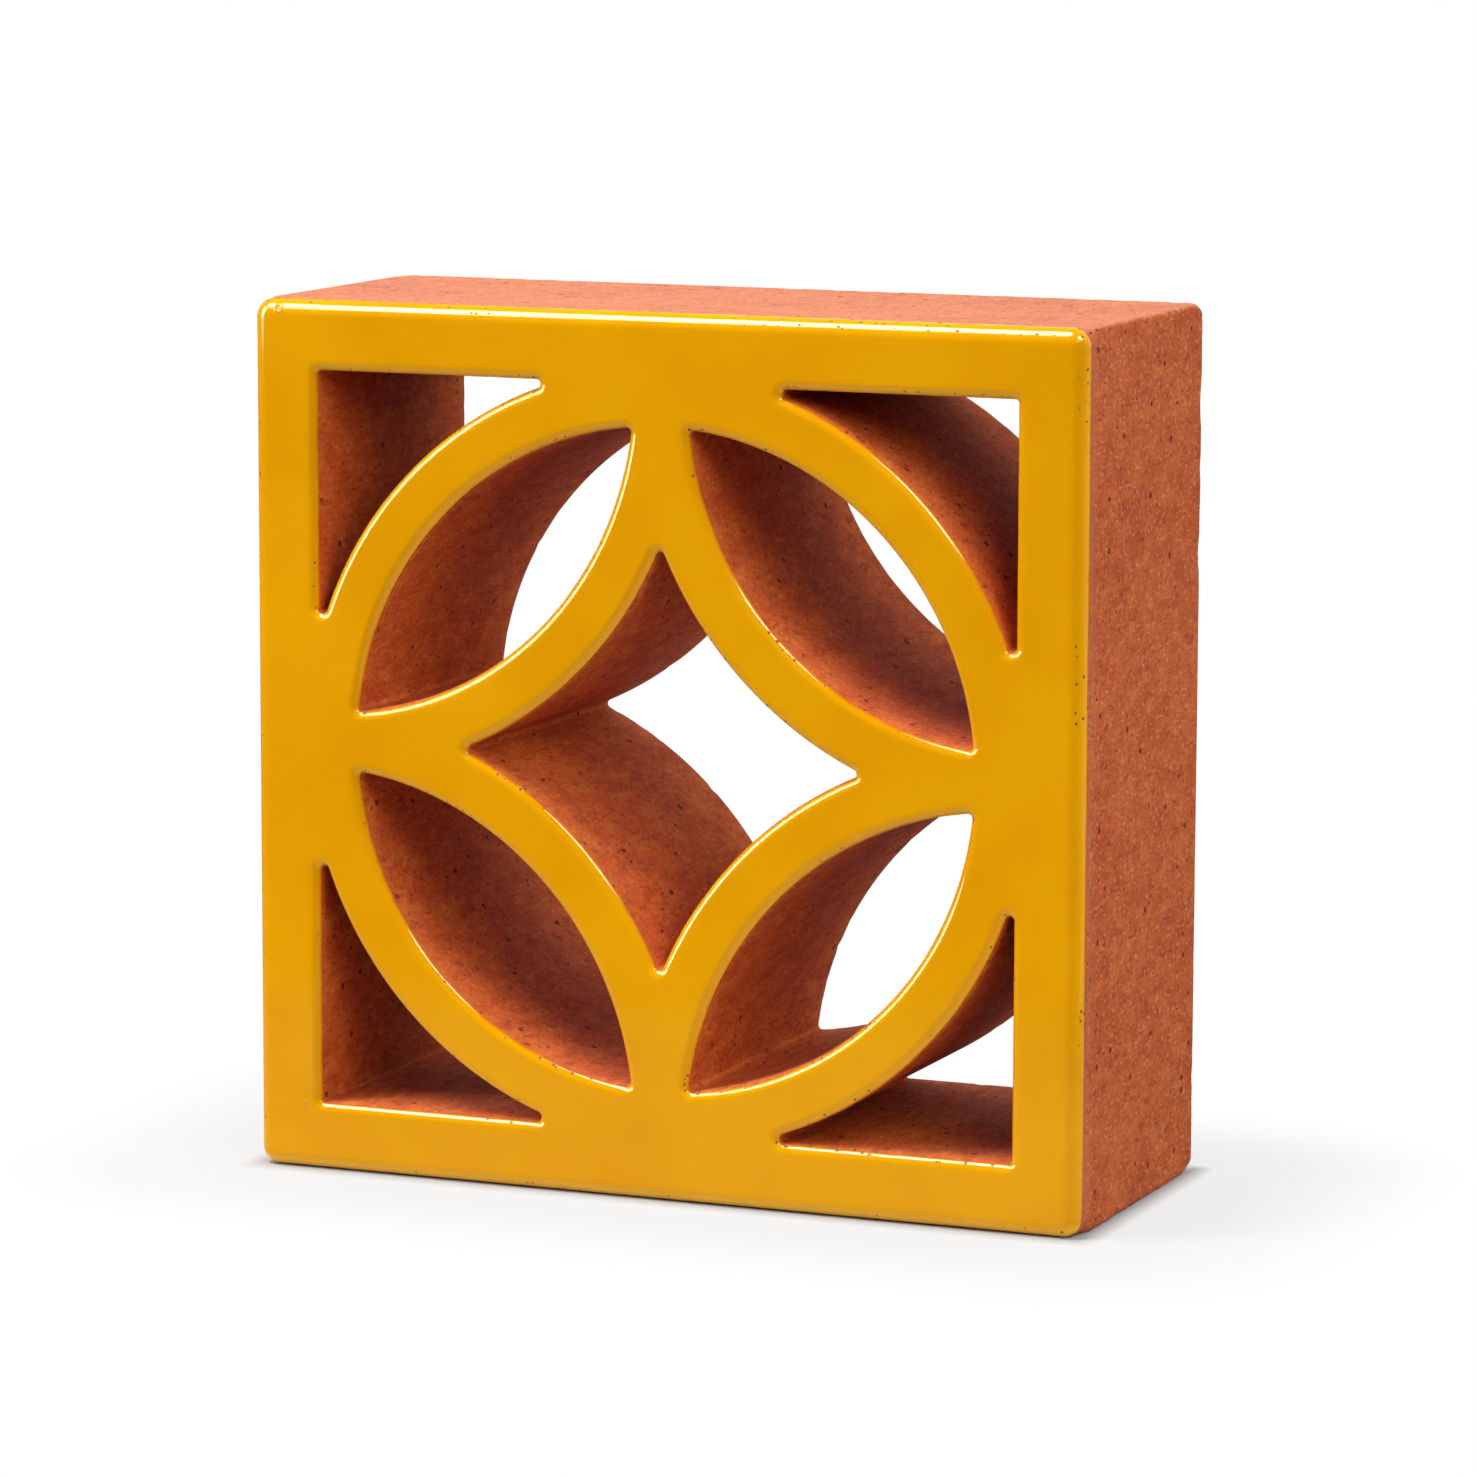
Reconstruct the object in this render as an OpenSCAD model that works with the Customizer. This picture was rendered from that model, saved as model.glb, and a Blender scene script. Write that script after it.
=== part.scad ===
// Terracotta breeze block: a square screen block, pierced from front to rear and glazed on its front.
// It stands on its bed face. The glazed front looks along -Y and the openings run along Y.
// The pattern is drawn flat with the front upwards, centred on the origin, and stood up at the end.

/* [Block] */
// Width and height of the square face
face_w = 200; // [190:1:220]
// Depth from the glazed front to the rear face
block_d = 80; // [60:1:100]
// Width of the frame round the pattern
frame_w = 15.8; // [14:0.2:20]
// Radius of the four long clay edges that run from the glaze to the rear
arris_r = 1.6; // [1.4:0.2:4]
// Radius of the clay edges round the rear face
rear_r = 1.2; // [0.4:0.2:1.2]

/* [Glaze] */
// Radius of the four corners of the glazed front, rounder than the clay behind it
corner_r = 4.2; // [4:0.2:6]
// Radius of the glazed edge round the outside of the front face
front_r = 3.6; // [1.5:0.1:3.8]
// Radius of the glazed edge at the mouth of every opening
mouth_r = 2; // [1:0.1:2.4]
// How far the glaze runs back from the front face
glaze_run = 3.6; // [2:0.1:5]

/* [Ring] */
// Width of the ring
ring_w = 12.8; // [11:0.2:15]
// How far the ring runs into the frame at the middle of each side
ring_sink = 3.3; // [2.8:0.1:5]

/* [Petals and star] */
// Width of a petal opening, measured along the diagonal of the face
petal_w = 33.8; // [30:0.2:37]
// Distance between the pointed ends of two neighbouring petals
tip_gap = 14; // [12:0.5:17]
// Width of the ribs between the petals and the star
rib_w = 13.4; // [11:0.2:15]

/* [Small radii] */
// Radius in the pointed ends of the openings
tip_r = 1; // [0.8:0.1:2]
// Radius in the square corners of the four corner openings
inside_r = 0.8; // [0.4:0.2:5]

/* [Hidden] */
$fn = 96;
clay_colour = "#B0592F";
glaze_colour = "#DE9B05";
// Overrun of a cutter past the faces it cuts
over = 1;
half_face = face_w / 2;
// Distance from the rear face to the end of the glaze
glaze_line = block_d - glaze_run;
// Half the width of the window inside the frame
window = half_face - frame_w;
ring_outer = window + ring_sink;
ring_inner = ring_outer - ring_w;
// The petal's inner arc runs through its end on the ring and its nearest point to the middle
petal_near = ring_inner - petal_w;
petal_end = [tip_gap / 2, sqrt(pow(ring_inner, 2) - pow(tip_gap / 2, 2))];
arc_c = (pow(ring_inner, 2) - pow(petal_near, 2))
    / (2 * (petal_end.x + petal_end.y) - 2 * sqrt(2) * petal_near);
arc_at = [arc_c, arc_c];
petal_arc = norm(arc_at) - petal_near;
star_arc = petal_arc + rib_w;

// Centres of the small circles that round the pointed ends
corner_tip = [sqrt(pow(ring_outer + tip_r, 2) - pow(window - tip_r, 2)), window - tip_r];
petal_tip = meet([0, 0], ring_inner - tip_r, arc_at, petal_arc - tip_r);
star_tip = [0, arc_c - sqrt(pow(star_arc + tip_r, 2) - pow(arc_c, 2))];
// How far a rounded end bulges past the walls of its opening
tip_bulge = 0.08;
// Length of the two straight cuts that take the sharp end off an opening, one square to each wall
tip_cut = 3 * (tip_r + mouth_r);

// Point where two circles meet, on the left of the line from p to q
function meet(p, p_r, q, q_r) =
    let (d = norm(q - p))
    let (along = (d * d + p_r * p_r - q_r * q_r) / (2 * d))
    let (aside = sqrt(p_r * p_r - along * along))
    let (u = (q - p) / d)
    p + along * u + aside * [-u.y, u.x];

function unit(v) = v / norm(v);

// Mirror image of a point across the diagonal of the face
function swapped(p) = [p.y, p.x];

// Point turned about the middle of the face by a number of quarter turns
function turned(p, turns) = turns == 0 ? p : turned([-p.y, p.x], turns - 1);

// What rounding with radius r takes off a square corner at the origin, with the overrun outside it
module corner_sliver(r) {
    difference() {
        translate([-r, -r])
            square(r + over);
        translate([-r, -r])
            circle(r);
    }
}

// Half section of a cutter, from its axis to a wall that rounds outwards into the front face
module flared_section(r) {
    translate([0, -over])
        square([r, block_d + 2 * over]);
    difference() {
        translate([r / 2, block_d - mouth_r])
            square([r / 2 + mouth_r, mouth_r + over]);
        translate([r + mouth_r, block_d - mouth_r])
            circle(mouth_r);
    }
}

// Round cutter that leaves the glazed edge at its mouth
module flared_disc(r) {
    rotate_extrude()
        flared_section(r);
}

// Round post that a cutter leaves standing, with the glazed edge round its front
module post(r) {
    rotate_extrude()
        difference() {
            translate([0, -over])
                square([r, block_d + 2 * over]);
            translate([r, block_d])
                corner_sliver(mouth_r);
        }
}

// Upright prism over an outline, as tall as the cutters
module prism(points) {
    translate([0, 0, -over])
        linear_extrude(block_d + 2 * over)
            polygon(points);
}

// Rounded end of an opening, which bulges past the walls so that it meets them at a clear angle
module rounded_end(at) {
    translate(at)
        flared_disc(tip_r + tip_bulge);
}

// Draws its children and their mirror image across the diagonal of the face
module both_sides() {
    children();
    mirror([1, -1, 0])
        children();
}

// A section swept along the sides and round the corners of a square, and filled
module rounded_square(half, corner, low, high) {
    side = 2 * (half - corner);
    for (turn = [0:3])
        rotate([0, 0, 90 * turn])
            translate([side / 2, side / 2, 0]) {
                rotate_extrude(angle = 90)
                    children();
                rotate([90, 0, 0])
                    linear_extrude(side)
                        children();
            }
    translate([-side / 2, -side / 2, low])
        cube([side, side, high - low]);
}

// Opening between the ring and one corner of the frame, with both of its ends rounded
module corner_opening() {
    up = [0, 1];
    to_ring = -unit(corner_tip);
    edge = [
        corner_tip + tip_cut * to_ring,
        corner_tip,
        corner_tip + tip_cut * up,
        [face_w, face_w],
        swapped(corner_tip + tip_cut * up),
        swapped(corner_tip),
        swapped(corner_tip + tip_cut * to_ring)
    ];
    intersection() {
        difference() {
            rounded_square(window, inside_r, -over, block_d + over)
                flared_section(inside_r);
            post(ring_outer);
        }
        prism(edge);
    }
    both_sides()
        rounded_end(corner_tip);
}

// Lens between the ring and one of the four arcs, with both of its ends rounded
module petal_opening() {
    to_ring = unit(petal_tip);
    to_arc = unit(petal_tip - arc_at);
    edge = [
        [0, 0],
        swapped(petal_tip + tip_cut * to_arc),
        swapped(petal_tip),
        swapped(petal_tip + tip_cut * to_ring),
        [ring_outer, ring_outer],
        petal_tip + tip_cut * to_ring,
        petal_tip,
        petal_tip + tip_cut * to_arc
    ];
    intersection() {
        flared_disc(ring_inner);
        translate(arc_at)
            flared_disc(petal_arc);
        prism(edge);
    }
    both_sides()
        rounded_end(petal_tip);
}

// Four-pointed opening in the middle, bounded by the four arcs
module star_opening() {
    to_right = unit(arc_at - star_tip);
    to_left = [-to_right.x, to_right.y];
    quarter = [star_tip + tip_cut * to_right, star_tip, star_tip + tip_cut * to_left];
    edge = [for (turn = [0:3]) for (p = quarter) turned(p, turn)];
    difference() {
        prism(edge);
        for (turn = [0:3])
            rotate([0, 0, 90 * turn])
                translate(arc_at)
                    post(star_arc);
    }
    for (turn = [0:3])
        rotate([0, 0, 90 * turn])
            rounded_end(star_tip);
}

// Half section of the clay's border, rounded at the rear
module clay_section() {
    difference() {
        square([arris_r, glaze_line]);
        translate([arris_r, 0])
            mirror([0, 1])
                corner_sliver(rear_r);
    }
}

// Half section of the glazed border, rounded at the front
module glaze_section() {
    difference() {
        translate([0, glaze_line])
            square([corner_r, glaze_run]);
        translate([corner_r, block_d])
            corner_sliver(front_r);
    }
}

// Fired clay, from the rear face to the end of the glaze
module clay_body() {
    color(clay_colour)
        rounded_square(half_face, arris_r, 0, glaze_line)
            clay_section();
}

// The glazed front: the face and its rounded edges
module glazed_front() {
    color(glaze_colour)
        rounded_square(half_face, corner_r, glaze_line, block_d)
            glaze_section();
}

// Nine openings through the block: four corners, four petals and the star
module openings() {
    color(clay_colour) {
        for (turn = [0:3])
            rotate([0, 0, 90 * turn]) {
                corner_opening();
                petal_opening();
            }
        star_opening();
    }
}

// The whole block: one piece of fired clay with the glaze fused to its front
module block() {
    translate([0, block_d / 2, half_face])
        rotate([90, 0, 0])
            difference() {
                union() {
                    clay_body();
                    glazed_front();
                }
                openings();
            }
}

block();
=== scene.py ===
# %% [markdown]
# # A glazed breeze block
# A breeze block is a square block of fired clay, pierced from front to rear so that a wall of them
# lets air and light through. This one carries a thick yellow glaze on its front.
# The lesson starts from the measured block, which is loaded as a fixed frame. Two new pieces stand
# in for it: the clay body, and the coat of glaze that lies over its front.

# %% Load the measured block
import math

import bmesh
import bpy
from mathutils import Matrix, Vector, noise


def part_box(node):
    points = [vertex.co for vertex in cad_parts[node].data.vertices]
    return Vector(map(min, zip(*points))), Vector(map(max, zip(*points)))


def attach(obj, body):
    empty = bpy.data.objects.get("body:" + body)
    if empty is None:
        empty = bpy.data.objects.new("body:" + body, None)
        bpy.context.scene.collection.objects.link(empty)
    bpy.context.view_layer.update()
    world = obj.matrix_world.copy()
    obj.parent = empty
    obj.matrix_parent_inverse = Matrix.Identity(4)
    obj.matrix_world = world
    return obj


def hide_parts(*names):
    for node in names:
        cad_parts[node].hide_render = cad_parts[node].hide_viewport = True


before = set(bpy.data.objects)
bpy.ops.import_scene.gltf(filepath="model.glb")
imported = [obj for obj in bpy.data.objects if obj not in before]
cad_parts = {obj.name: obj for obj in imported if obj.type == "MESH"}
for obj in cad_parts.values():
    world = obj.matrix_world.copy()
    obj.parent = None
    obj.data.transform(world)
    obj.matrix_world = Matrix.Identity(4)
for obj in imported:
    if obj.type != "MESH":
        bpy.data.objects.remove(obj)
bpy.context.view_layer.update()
low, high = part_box("block")
print("measured block, mm:", [round(1000 * side, 1) for side in high - low])

# %% [markdown]
# ## Sizes
# All sizes are in millimetres, because a potter's drawing is, and each mesh is scaled to metres at
# the end. The pattern is one ring, four arcs that cross inside it, and the square window of the
# frame. Every opening lies between such circles and lines, so a few radii fix the whole face.

# %% The block and its pattern
MM = 0.001
HALF = 100.0                    # half the width of the square face
FRONT, REAR = -40.0, 40.0
CORNER_R = 4.2                  # corner of the glazed front
WINDOW = HALF - 15.8            # half the window inside the frame
INSIDE_R = 0.8                  # the window's square corners
RING_OUT = WINDOW + 3.3         # the ring runs a little into the frame
RING_IN = RING_OUT - 12.8
PETAL_NEAR = RING_IN - 33.8     # where a petal comes nearest to the middle of the face
PETAL_END_X = 7.0               # half the gap between the ends of two neighbouring petals
TIP_R = 1.0                     # radius in the pointed ends of the openings
RIB = 13.4                      # width of the ribs between the petals and the star

petal_end_z = math.sqrt(RING_IN ** 2 - PETAL_END_X ** 2)
ARC = ((RING_IN ** 2 - PETAL_NEAR ** 2)
       / (2 * (PETAL_END_X + petal_end_z) - 2 * math.sqrt(2) * PETAL_NEAR))
PETAL_ARC = ARC * math.sqrt(2) - PETAL_NEAR
STAR_ARC = PETAL_ARC + RIB
print("ring %.1f to %.1f, arcs centred at %.2f, radii %.2f and %.2f"
      % (RING_IN, RING_OUT, ARC, PETAL_ARC, STAR_ARC))

# %% [markdown]
# ## Drawing with a spin
# On the real block a die pushes the clay through the pattern, so every wall is one section carried
# along an outline of arcs and straight runs. The same is done here. A spin carries geometry round a
# centre, and with no angle it carries it straight on. A loop cut and bent by hand would need far
# more care to keep the arcs true.

# %% Straight runs and round turns
REARWARD = Vector((0, 1, 0))        # along the depth of the block
OUTLINE_AXIS = Vector((0, -1, 0))   # outlines turn left seen from the front


def run(shift, steps=1):
    """A straight stretch of an outline or a section."""
    return {"cent": (0, 0, 0), "axis": REARWARD, "angle": 0, "dvec": shift / steps,
            "steps": steps}


def turn(centre, axis, degrees, steps):
    """A round stretch about a centre."""
    return {"cent": centre, "axis": axis, "angle": math.radians(degrees), "dvec": (0, 0, 0),
            "steps": steps}


def spun(bm, geometry, move):
    """Makes one move, leaves a path or a wall behind it, and gives back the new end."""
    return bmesh.ops.spin(bm, geom=geometry, use_merge=False, use_normal_flip=False,
                          use_duplicate=False, **move)["geom_last"]


# %% Points of the face
def flat(x, z):
    """A point of the face."""
    return Vector((x, 0, z))


def on_circle(centre, radius, degrees):
    angle = math.radians(degrees)
    return centre + radius * flat(math.cos(angle), math.sin(angle))


def bearing(point):
    """Direction of a point from the origin, in degrees to the left of +X."""
    return math.degrees(math.atan2(point.z, point.x))


def quarter_turns(count):
    """Turns a drawing about the middle of the face."""
    return Matrix.Rotation(math.radians(90 * count), 3, OUTLINE_AXIS)


# %% [markdown]
# ## The outlines
# Each outline is a start, the direction from its wall into the air, and a list of moves. The
# pointed ends are small circles that touch both walls. On fired clay they are never sharp, because
# the die is not and the glaze fills them a little. The pitch is how long a step of a long stretch
# is.

# %% The outside of the block
BORDER_CORNER_STEPS = 24
CLOSE_LENGTH, CLOSE_STEPS = 6.0, 8      # closer steps beside the corners, where the chips are


def side_run(shift, pitch):
    """A side of the block, with closer steps at both of its ends."""
    way = shift.normalized()
    middle = shift.length - 2 * CLOSE_LENGTH
    close = run(way * CLOSE_LENGTH, CLOSE_STEPS)
    return [close, run(way * middle, max(2, round(middle / pitch))), close]


def border(pitch):
    moves = []
    reach = HALF - CORNER_R
    for quarter in range(4):
        turned = quarter_turns(quarter)
        moves += side_run(turned @ flat(0, 2 * reach), pitch)
        moves += [turn(turned @ flat(reach, reach), OUTLINE_AXIS, 90, BORDER_CORNER_STEPS)]
    return flat(HALF, -reach), flat(1, 0), moves


# %% The three kinds of opening
WINDOW_CORNER_STEPS = 6
CORNER_TIP_STEPS, TIP_STEPS = 14, 12


def bend(centre, radius, degrees, pitch):
    """A long arc of an outline. Its angle is negative where the wall bulges into the opening."""
    return turn(centre, OUTLINE_AXIS, degrees, round(radius * math.radians(abs(degrees)) / pitch))


def corner_opening(pitch):
    tip = flat(math.sqrt((RING_OUT + TIP_R) ** 2 - (WINDOW - TIP_R) ** 2), WINDOW - TIP_R)
    inside = WINDOW - INSIDE_R
    side = inside - tip.x
    steps = round(side / pitch)
    lean = bearing(tip)
    moves = [
        turn(tip, OUTLINE_AXIS, 90 + lean, CORNER_TIP_STEPS),
        bend(flat(0, 0), RING_OUT, 90 - 2 * lean, pitch),
        turn(flat(tip.z, tip.x), OUTLINE_AXIS, 90 + lean, CORNER_TIP_STEPS),
        run(flat(0, side), steps),
        turn(flat(inside, inside), OUTLINE_AXIS, 90, WINDOW_CORNER_STEPS),
        run(flat(-side, 0), steps),
    ]
    return flat(tip.x, WINDOW), flat(0, -1), moves


def petal_opening(pitch):
    """A lens between the ring and one arc. Its tips lie where two slightly smaller circles meet."""
    centre = flat(ARC, ARC)
    ring, arc = RING_IN - TIP_R, PETAL_ARC - TIP_R
    apart = centre.length
    along = (apart ** 2 + ring ** 2 - arc ** 2) / (2 * apart)
    aside = math.sqrt(ring ** 2 - along ** 2)
    tip = on_circle(on_circle(flat(0, 0), along, 45), aside, 135)
    lean = bearing(tip)
    away = bearing(tip - centre) % 360
    moves = [
        bend(flat(0, 0), RING_IN, 2 * lean - 90, pitch),
        turn(tip, OUTLINE_AXIS, away - lean, TIP_STEPS),
        bend(centre, PETAL_ARC, 360 + 90 - 2 * away, pitch),
        turn(flat(tip.z, tip.x), OUTLINE_AXIS, away - lean, TIP_STEPS),
    ]
    out = on_circle(flat(0, 0), 1, 90 - lean)
    return RING_IN * out, -out, moves


def star_opening(pitch):
    reach = ARC - math.sqrt((STAR_ARC + TIP_R) ** 2 - ARC ** 2)
    lean = math.degrees(math.atan2(ARC, ARC - reach))
    moves = []
    for quarter in range(4):
        turned = quarter_turns(quarter)
        moves += [turn(turned @ flat(reach, 0), OUTLINE_AXIS, 2 * lean, TIP_STEPS),
                  bend(turned @ flat(ARC, ARC), STAR_ARC, 90 - 2 * lean, pitch)]
    return on_circle(flat(reach, 0), TIP_R, -lean), -on_circle(flat(0, 0), 1, -lean), moves


OPENINGS = [(corner_opening, 4), (petal_opening, 4), (star_opening, 1)]
print("openings:", sum(count for _, count in OPENINGS))

# %% [markdown]
# ## The sections
# A section is drawn in two numbers: how far it stands off the wall into the air, and how deep it
# lies. Glaze is glass that melted in the kiln and crept round the edges, so its section is a fat
# quarter round that ends in a soft lip, a little proud of the clay. It could be one mesh with the
# clay, but as a coat of its own it keeps its lip and its own material.

# %% Draw a section
class Section:
    """Draws a section from a start on an outline: off is into the air, deep is towards the rear."""

    def __init__(self, start, air, off, deep):
        self.start, self.air = start, air
        self.bm = bmesh.new()
        self.tip = [self.bm.verts.new(self.place(off, deep))]

    def place(self, off, deep):
        return self.start + off * self.air + deep * REARWARD

    def run(self, off, deep, steps=1):
        """Goes straight on to a new place."""
        here = self.tip[0].co.copy()
        return self.go(run(self.place(off, deep) - here, steps))

    def turn(self, off, deep, degrees, steps):
        """Turns about a centre, from the front of the section to the air and on to its rear."""
        return self.go(turn(self.place(off, deep), self.air.cross(REARWARD), degrees, steps))

    def go(self, move):
        self.tip = [v for v in spun(self.bm, self.tip, move) if isinstance(v, bmesh.types.BMVert)]
        return self


# %% Sections of the coat and of the clay
STRIP = 0.5         # flat strip between the rounded edge and the face
COAT = 1.0          # thickness of the modelled coat
BURIED = 0.05       # how far the coat's lip starts under the clay
CLAY_FRONT = FRONT + 0.2        # the clay's own front lies under the coat
HIDDEN_STEPS, LIP_STEPS, COAT_WALL_STEPS = 4, 3, 4
CLAY_MOUTH_STEPS, CLAY_REAR_STEPS = 8, 5


def coat_section(start, air, radius, proud, reach, steps):
    """Closed round the front edge: the hidden inner side, the lip, the wall and the round."""
    lip = proud + BURIED
    s = Section(start, air, -radius - STRIP, FRONT + COAT)
    s.run(proud - radius, FRONT + COAT)
    s.turn(proud - radius, FRONT + radius, 90, HIDDEN_STEPS)
    s.run(proud - COAT, FRONT + reach - lip)
    s.run(-BURIED, FRONT + reach)
    s.turn(-BURIED, FRONT + reach - lip, -90, LIP_STEPS)
    s.run(proud, FRONT + radius, COAT_WALL_STEPS)
    s.turn(proud - radius, FRONT + radius, -90, steps)
    s.run(-radius - STRIP, FRONT)
    return s.bm


def clay_section(start, air, radius, recess, rear_radius, pitch):
    """From the front, which the coat covers, along the wall to the rounded rear edge."""
    wall = REAR - rear_radius - CLAY_FRONT - radius
    s = Section(start, air, -radius - STRIP, CLAY_FRONT)
    s.run(-recess - radius, CLAY_FRONT)
    s.turn(-recess - radius, CLAY_FRONT + radius, 90, CLAY_MOUTH_STEPS)
    s.run(-recess, REAR - rear_radius, round(wall / pitch))
    s.turn(-recess - rear_radius, REAR - rear_radius, 90, CLAY_REAR_STEPS)
    s.run(-recess - rear_radius - STRIP, REAR)
    return s.bm


# %% [markdown]
# ## Sweeping and closing
# The section is carried once round its outline and the seam is merged. The two rims of the ten
# sweeps are then filled, front and rear, and the fill leaves the openings open.

# %% Sweep a section, and make a pierced shell of ten sweeps
SEAM = 0.02     # points closer than this become one


def swept(outline, section, pitch):
    start, air, moves = outline(pitch)
    bm = section(start, air)
    wall = bm.verts[:] + bm.edges[:]
    for move in moves:
        wall = spun(bm, wall, move)
    bmesh.ops.remove_doubles(bm, verts=bm.verts, dist=SEAM)
    mesh = bpy.data.meshes.new("swept")
    bm.to_mesh(mesh)
    bm.free()
    return mesh


def pierced_shell(border_section, opening_section, border_pitch, opening_pitch):
    bm = bmesh.new()
    sweeps = [(border, 1, border_section, border_pitch)]
    sweeps += [(outline, count, opening_section, opening_pitch) for outline, count in OPENINGS]
    for outline, count, section, pitch in sweeps:
        mesh = swept(outline, section, pitch)
        for quarter in range(count):
            known = len(bm.verts)
            bm.from_mesh(mesh)
            bm.verts.ensure_lookup_table()
            bmesh.ops.rotate(bm, verts=bm.verts[known:], cent=(0, 0, 0),
                             matrix=quarter_turns(quarter))
        bpy.data.meshes.remove(mesh)
    rims = {}
    for edge in bm.edges:
        if edge.is_boundary:
            rims.setdefault(round(edge.verts[0].co.y, 3), []).append(edge)
    for edges in rims.values():
        bmesh.ops.triangle_fill(bm, use_beauty=True, use_dissolve=False, edges=edges,
                                normal=(0, 1, 0))
    bmesh.ops.recalc_face_normals(bm, faces=bm.faces)
    print("shell:", len(bm.verts), "points,", len(bm.faces), "faces, rims at", sorted(rims))
    return bm


# %% Make an object of a finished mesh
def in_scene(mesh, name, material):
    """Gives a mesh its object, in the scene, and its material."""
    made = bpy.data.objects.new(name, mesh)
    bpy.context.scene.collection.objects.link(made)
    mesh.materials.append(material)
    return made


def finished(bm, name, material):
    """Moves the mesh from the drawing to its place, in metres, and makes its object."""
    bmesh.ops.translate(bm, verts=bm.verts, vec=(0, 0, HALF))
    bmesh.ops.scale(bm, verts=bm.verts, vec=(MM, MM, MM))
    for face in bm.faces:
        face.smooth = True
    mesh = bpy.data.meshes.new(name)
    bm.to_mesh(mesh)
    bm.free()
    print(name, "has", sum(len(f.vertices) - 2 for f in mesh.polygons), "triangles")
    return in_scene(mesh, name, material)


# %% [markdown]
# ## Wear and creep
# Nothing fired is exact. Smooth noise moves the points: the long arrises are nicked, the block's
# corners are knocked round, and the lip of the glaze wanders. Noise is better here than random
# numbers, because it gives the same block on every run. Each use of it has a seed of its own.

# %% Noise in millimetres
def ripple(point, size, seed=0.0):
    """Smooth noise from about -1 to 1 whose bumps are size millimetres apart."""
    return noise.noise(Vector(point) / size + Vector((seed, 0.7 * seed, -1.3 * seed)))


def ease(none, full, value):
    """0 on the side of none, 1 on the side of full, and a smooth step between them."""
    t = min(1.0, max(0.0, (value - none) / (full - none)))
    return t * t * (3 - 2 * t)


def edge_distance(co):
    """How far a point of the face lies inside the block's four sides."""
    return min(HALF - abs(co.x), HALF - abs(co.z))


# %% [markdown]
# ## The clay body
# The body is red clay, pressed through the die and cut off square. Its long arrises are sharp but
# chipped, and turn rounder towards the block's corners. The sweep draws them as round as the
# glaze's corner, and the points are then pushed out towards the sharp arris that the wear leaves.

# %% Wear on the four long arrises
EDGE_R = 3.6            # rounded edge of the glaze round the outside of the face
MOUTH_R = 2.4           # rounded edge of the glaze round each opening
SHARP_R, FRESH_R = 0.5, 1.0     # the sharpest an arris gets, and one that nothing has worn
BLUNT_R = CORNER_R - 0.02       # the roundest, still inside the glaze's corner
FRONT_WEAR, REAR_WEAR = 3.0, 2.2        # how much rounder it gets beside the glaze and at the rear
NICK, WAVER = 3.4, 0.35                 # how much its chips and its slow waver round it
CHIP_START = 0.22       # how high a ripple has to be before it makes a chip
ARRIS_SEEDS = {"left": 11.0, "right": 3.0, "low": 0.0, "high": 5.0}


def arris_radius(co):
    """Radius of a long arris at this depth: chipped, and worn round at both ends."""
    seed = (ARRIS_SEEDS["right" if co.x > 0 else "left"]
            + ARRIS_SEEDS["high" if co.z > 0 else "low"])
    along = (0, co.y, 0)
    by_glaze = 1 - ease(FRONT + EDGE_R, FRONT + 11, co.y)
    by_rear = ease(REAR - 7, REAR, co.y)
    worn = FRESH_R + FRONT_WEAR * by_glaze + REAR_WEAR * by_rear
    chips = NICK * max(0.0, ripple(along, 2.3, seed) - CHIP_START) + WAVER * ripple(along, 7, seed)
    return min(BLUNT_R, max(SHARP_R, worn + chips))


def square_off(co):
    """Pushes a point of a corner, drawn with the glaze's radius, out to the clay's own arris."""
    reach = HALF - CORNER_R
    off = flat(abs(co.x) - reach, abs(co.z) - reach)
    if off.x <= 0 or off.z <= 0:
        return
    radius = arris_radius(co)
    way = off.normalized()
    side, inner = max(way.x, way.z), CORNER_R - radius
    grown = CORNER_R / side                         # where the flat side lies
    if grown * min(way.x, way.z) > inner:           # past it, the arris is round
        middle = inner * (way.x + way.z)
        grown = middle + math.sqrt(max(0.0, middle ** 2 - 2 * inner ** 2 + radius ** 2))
    off *= grown / CORNER_R
    co.x = math.copysign(reach + off.x, co.x)
    co.z = math.copysign(reach + off.z, co.z)


# %% Sweep the clay, chip its rear edges and dent its walls
RECESS = 0.14       # the clay lies this far under the block's full size, so the glaze stands proud
REAR_EDGE_R, REAR_MOUTH_R = 1.2, 0.45
OUTER_CHIP, MOUTH_CHIP, DENT = 1.2, 0.5, 0.05       # how deep they go
WORN_PER_MM = 2.5       # so that a chip 0.4 mm deep shows nothing but fresh clay
CHIP_SEED, DENT_SEED = 20.0, 31.0

clay = pierced_shell(
    lambda start, air: clay_section(start, air, EDGE_R - 0.1, RECESS, REAR_EDGE_R, pitch=1.0),
    lambda start, air: clay_section(start, air, MOUTH_R, 0.0, REAR_MOUTH_R, pitch=3.2),
    border_pitch=3.0, opening_pitch=1.8)
clay.normal_update()
worn_layer = clay.verts.layers.float.new("worn")
shifts = []
for v in clay.verts:
    outside = edge_distance(v.co) < CORNER_R
    near_rear = ease(REAR - 2.2, REAR - 0.6, v.co.y)
    on_edge = near_rear * (ease(4.0, 1.0, edge_distance(v.co)) if outside else 1.0)
    chip = (on_edge * max(0.0, ripple(v.co, 2.2, CHIP_SEED) - CHIP_START)
            * (OUTER_CHIP if outside else MOUTH_CHIP))
    behind_glaze = ease(FRONT + 5, FRONT + 8, v.co.y)
    dent = DENT * max(0.0, ripple(v.co, 9.0, DENT_SEED)) * behind_glaze
    shifts.append(-v.normal * (chip + dent))
    v[worn_layer] = min(1.0, WORN_PER_MM * chip)
for v, shift in zip(clay.verts, shifts):
    square_off(v.co)
    v.co += shift
    v.co.y = min(v.co.y, REAR)
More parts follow.
